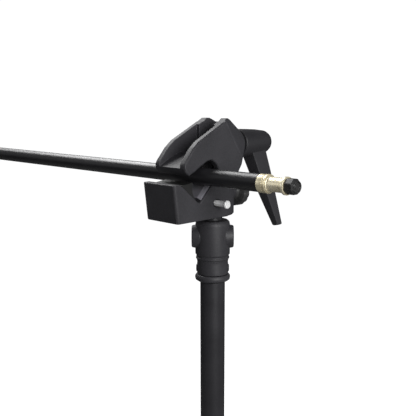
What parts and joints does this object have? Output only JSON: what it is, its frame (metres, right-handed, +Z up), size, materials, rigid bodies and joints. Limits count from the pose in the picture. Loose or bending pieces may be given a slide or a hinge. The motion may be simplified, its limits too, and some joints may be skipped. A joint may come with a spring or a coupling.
{
  "type": "c stand",
  "caption": "Black folding light stand with a telescoping column and a lever-tightened super clamp that grips a boom tube with a brass spigot.",
  "frame": {"origin": "on the floor, under the axis of the column", "axes": "+Z up along the column, +X along the boom towards its brass spigot, -Y out of the clamp block's front"},
  "size_m": [0.6267, 0.6686, 1.054],
  "materials": {
    "black_powder_coat": "fine textured black powder coat",
    "cast_black_coat": "cast aluminium under fine textured black powder coat",
    "black_plastic": "matt black moulded plastic",
    "black_rubber": "black rubber",
    "bright_steel": "bright zinc-plated steel",
    "brass": "machined brass, pale and bright"
  },
  "bodies": {
    "base": {"base_tube": "black_powder_coat", "base_plug": "black_plastic", "base_seat_ring": "black_powder_coat", "base_stop_ring": "black_powder_coat", "leg_collar_low": "cast_black_coat", "leg_tube_low": "black_powder_coat", "leg_foot_low": "black_rubber", "base_collar": "cast_black_coat"},
    "leg_mid": {"leg_collar_mid": "cast_black_coat", "leg_tube_mid": "black_powder_coat", "leg_foot_mid": "black_rubber"},
    "leg_top": {"leg_collar_top": "cast_black_coat", "leg_tube_top": "black_powder_coat", "leg_foot_top": "black_rubber"},
    "base_lock": {"base_knob": "black_plastic", "base_screw": "bright_steel"},
    "riser_lower": {"riser_lower_tube": "black_powder_coat", "riser_lower_bush": "black_plastic", "riser_lower_collar": "cast_black_coat"},
    "riser_lock": {"riser_lower_knob": "black_plastic", "riser_lower_screw": "bright_steel"},
    "riser_upper": {"riser_upper_tube": "black_powder_coat", "riser_upper_bush": "black_plastic", "socket_body": "cast_black_coat", "socket_ring": "cast_black_coat", "clamp_stud": "black_powder_coat", "riser_screw_left": "black_powder_coat", "riser_screw_right": "black_powder_coat", "stud_screw_left": "black_powder_coat", "stud_screw_right": "black_powder_coat"},
    "clamp": {"clamp_body": "cast_black_coat", "pivot_pin": "black_powder_coat", "jaw_pad_lower": "black_rubber", "jaw_wedge": "black_plastic"},
    "jaw": {"upper_jaw": "cast_black_coat", "jaw_pad_upper": "black_rubber", "thrust_washer": "cast_black_coat"},
    "lever": {"tension_lever": "cast_black_coat", "tension_screw": "bright_steel", "lever_end_screw": "bright_steel"},
    "nut": {"trunnion_nut": "bright_steel"},
    "plunger": {"plunger_pin": "bright_steel", "plunger_spring": "bright_steel"},
    "stud_lock": {"lock_knob": "black_plastic", "lock_screw": "bright_steel"},
    "boom": {"boom_tube": "black_powder_coat", "boom_end_plug": "black_plastic", "spigot": "brass", "spigot_ring": "brass"},
    "cap": {"spigot_cap": "black_plastic"}
  },
  "joints": [
    {"name": "leg_mid_swing", "type": "hinge", "parent": "base", "child": "leg_mid", "pos_m": [0, 0, 0.141], "axis": [0, 0, 1], "range_deg": [-95, 20]},
    {"name": "leg_top_swing", "type": "hinge", "parent": "base", "child": "leg_top", "pos_m": [0, 0, 0.175], "axis": [0, 0, 1], "range_deg": [-20, 95]},
    {"name": "base_knob_turn", "type": "hinge", "parent": "base", "child": "base_lock", "pos_m": [0, -0.04, 0.386], "axis": [0, -1, 0], "range_deg": [0, 720]},
    {"name": "lower_riser_slide", "type": "slide", "parent": "base", "child": "riser_lower", "axis": [0, 0, 1], "range_m": [-0.045, 0.12]},
    {"name": "riser_knob_turn", "type": "hinge", "parent": "riser_lower", "child": "riser_lock", "pos_m": [0, -0.04, 0.586], "axis": [0, -1, 0], "range_deg": [0, 720]},
    {"name": "upper_riser_slide", "type": "slide", "parent": "riser_lower", "child": "riser_upper", "axis": [0, 0, 1], "range_m": [-0.165, 0.12]},
    {"name": "clamp_swivel", "type": "hinge", "parent": "riser_upper", "child": "clamp", "pos_m": [0, 0, 0.96], "axis": [0, 0, 1], "continuous": true},
    {"name": "lever_turn", "type": "hinge", "parent": "jaw", "child": "lever", "pos_m": [0, 0.05, 1.0278], "axis": [0, 1, 0], "range_deg": [0, 1904]},
    {"name": "jaw_open", "type": "hinge", "parent": "clamp", "child": "jaw", "pos_m": [0, 0.002, 1.0006], "axis": [-1, 0, 0], "range_deg": [0, 22.2]},
    {"name": "nut_turn", "type": "hinge", "parent": "clamp", "child": "nut", "pos_m": [0, 0.00729, 1.0278], "axis": [-1, 0, 0], "range_deg": [0, 22.2]},
    {"name": "plunger_press", "type": "slide", "parent": "clamp", "child": "plunger", "axis": [1, 0, 0], "range_m": [-0.0035, 0], "stiffness_N_per_m": 800, "springref_m": 0.003},
    {"name": "lock_knob_turn", "type": "hinge", "parent": "clamp", "child": "stud_lock", "pos_m": [0, 0.03, 0.981], "axis": [0, 1, 0], "range_deg": [0, 720]},
    {"name": "boom_slide", "type": "slide", "parent": "clamp", "child": "boom", "axis": [1, 0, 0], "range_m": [-0.055, 0.37]},
    {"name": "cap_turn", "type": "hinge", "parent": "boom", "child": "cap", "pos_m": [0.12, -0.033, 1.0012], "axis": [1, 0, 0], "continuous": true}
  ],
  "couplings": [
    {"joint": "jaw_open", "follows": "lever_turn", "ratio": 0.011558},
    {"joint": "nut_turn", "follows": "lever_turn", "ratio": 0.011558}
  ]
}
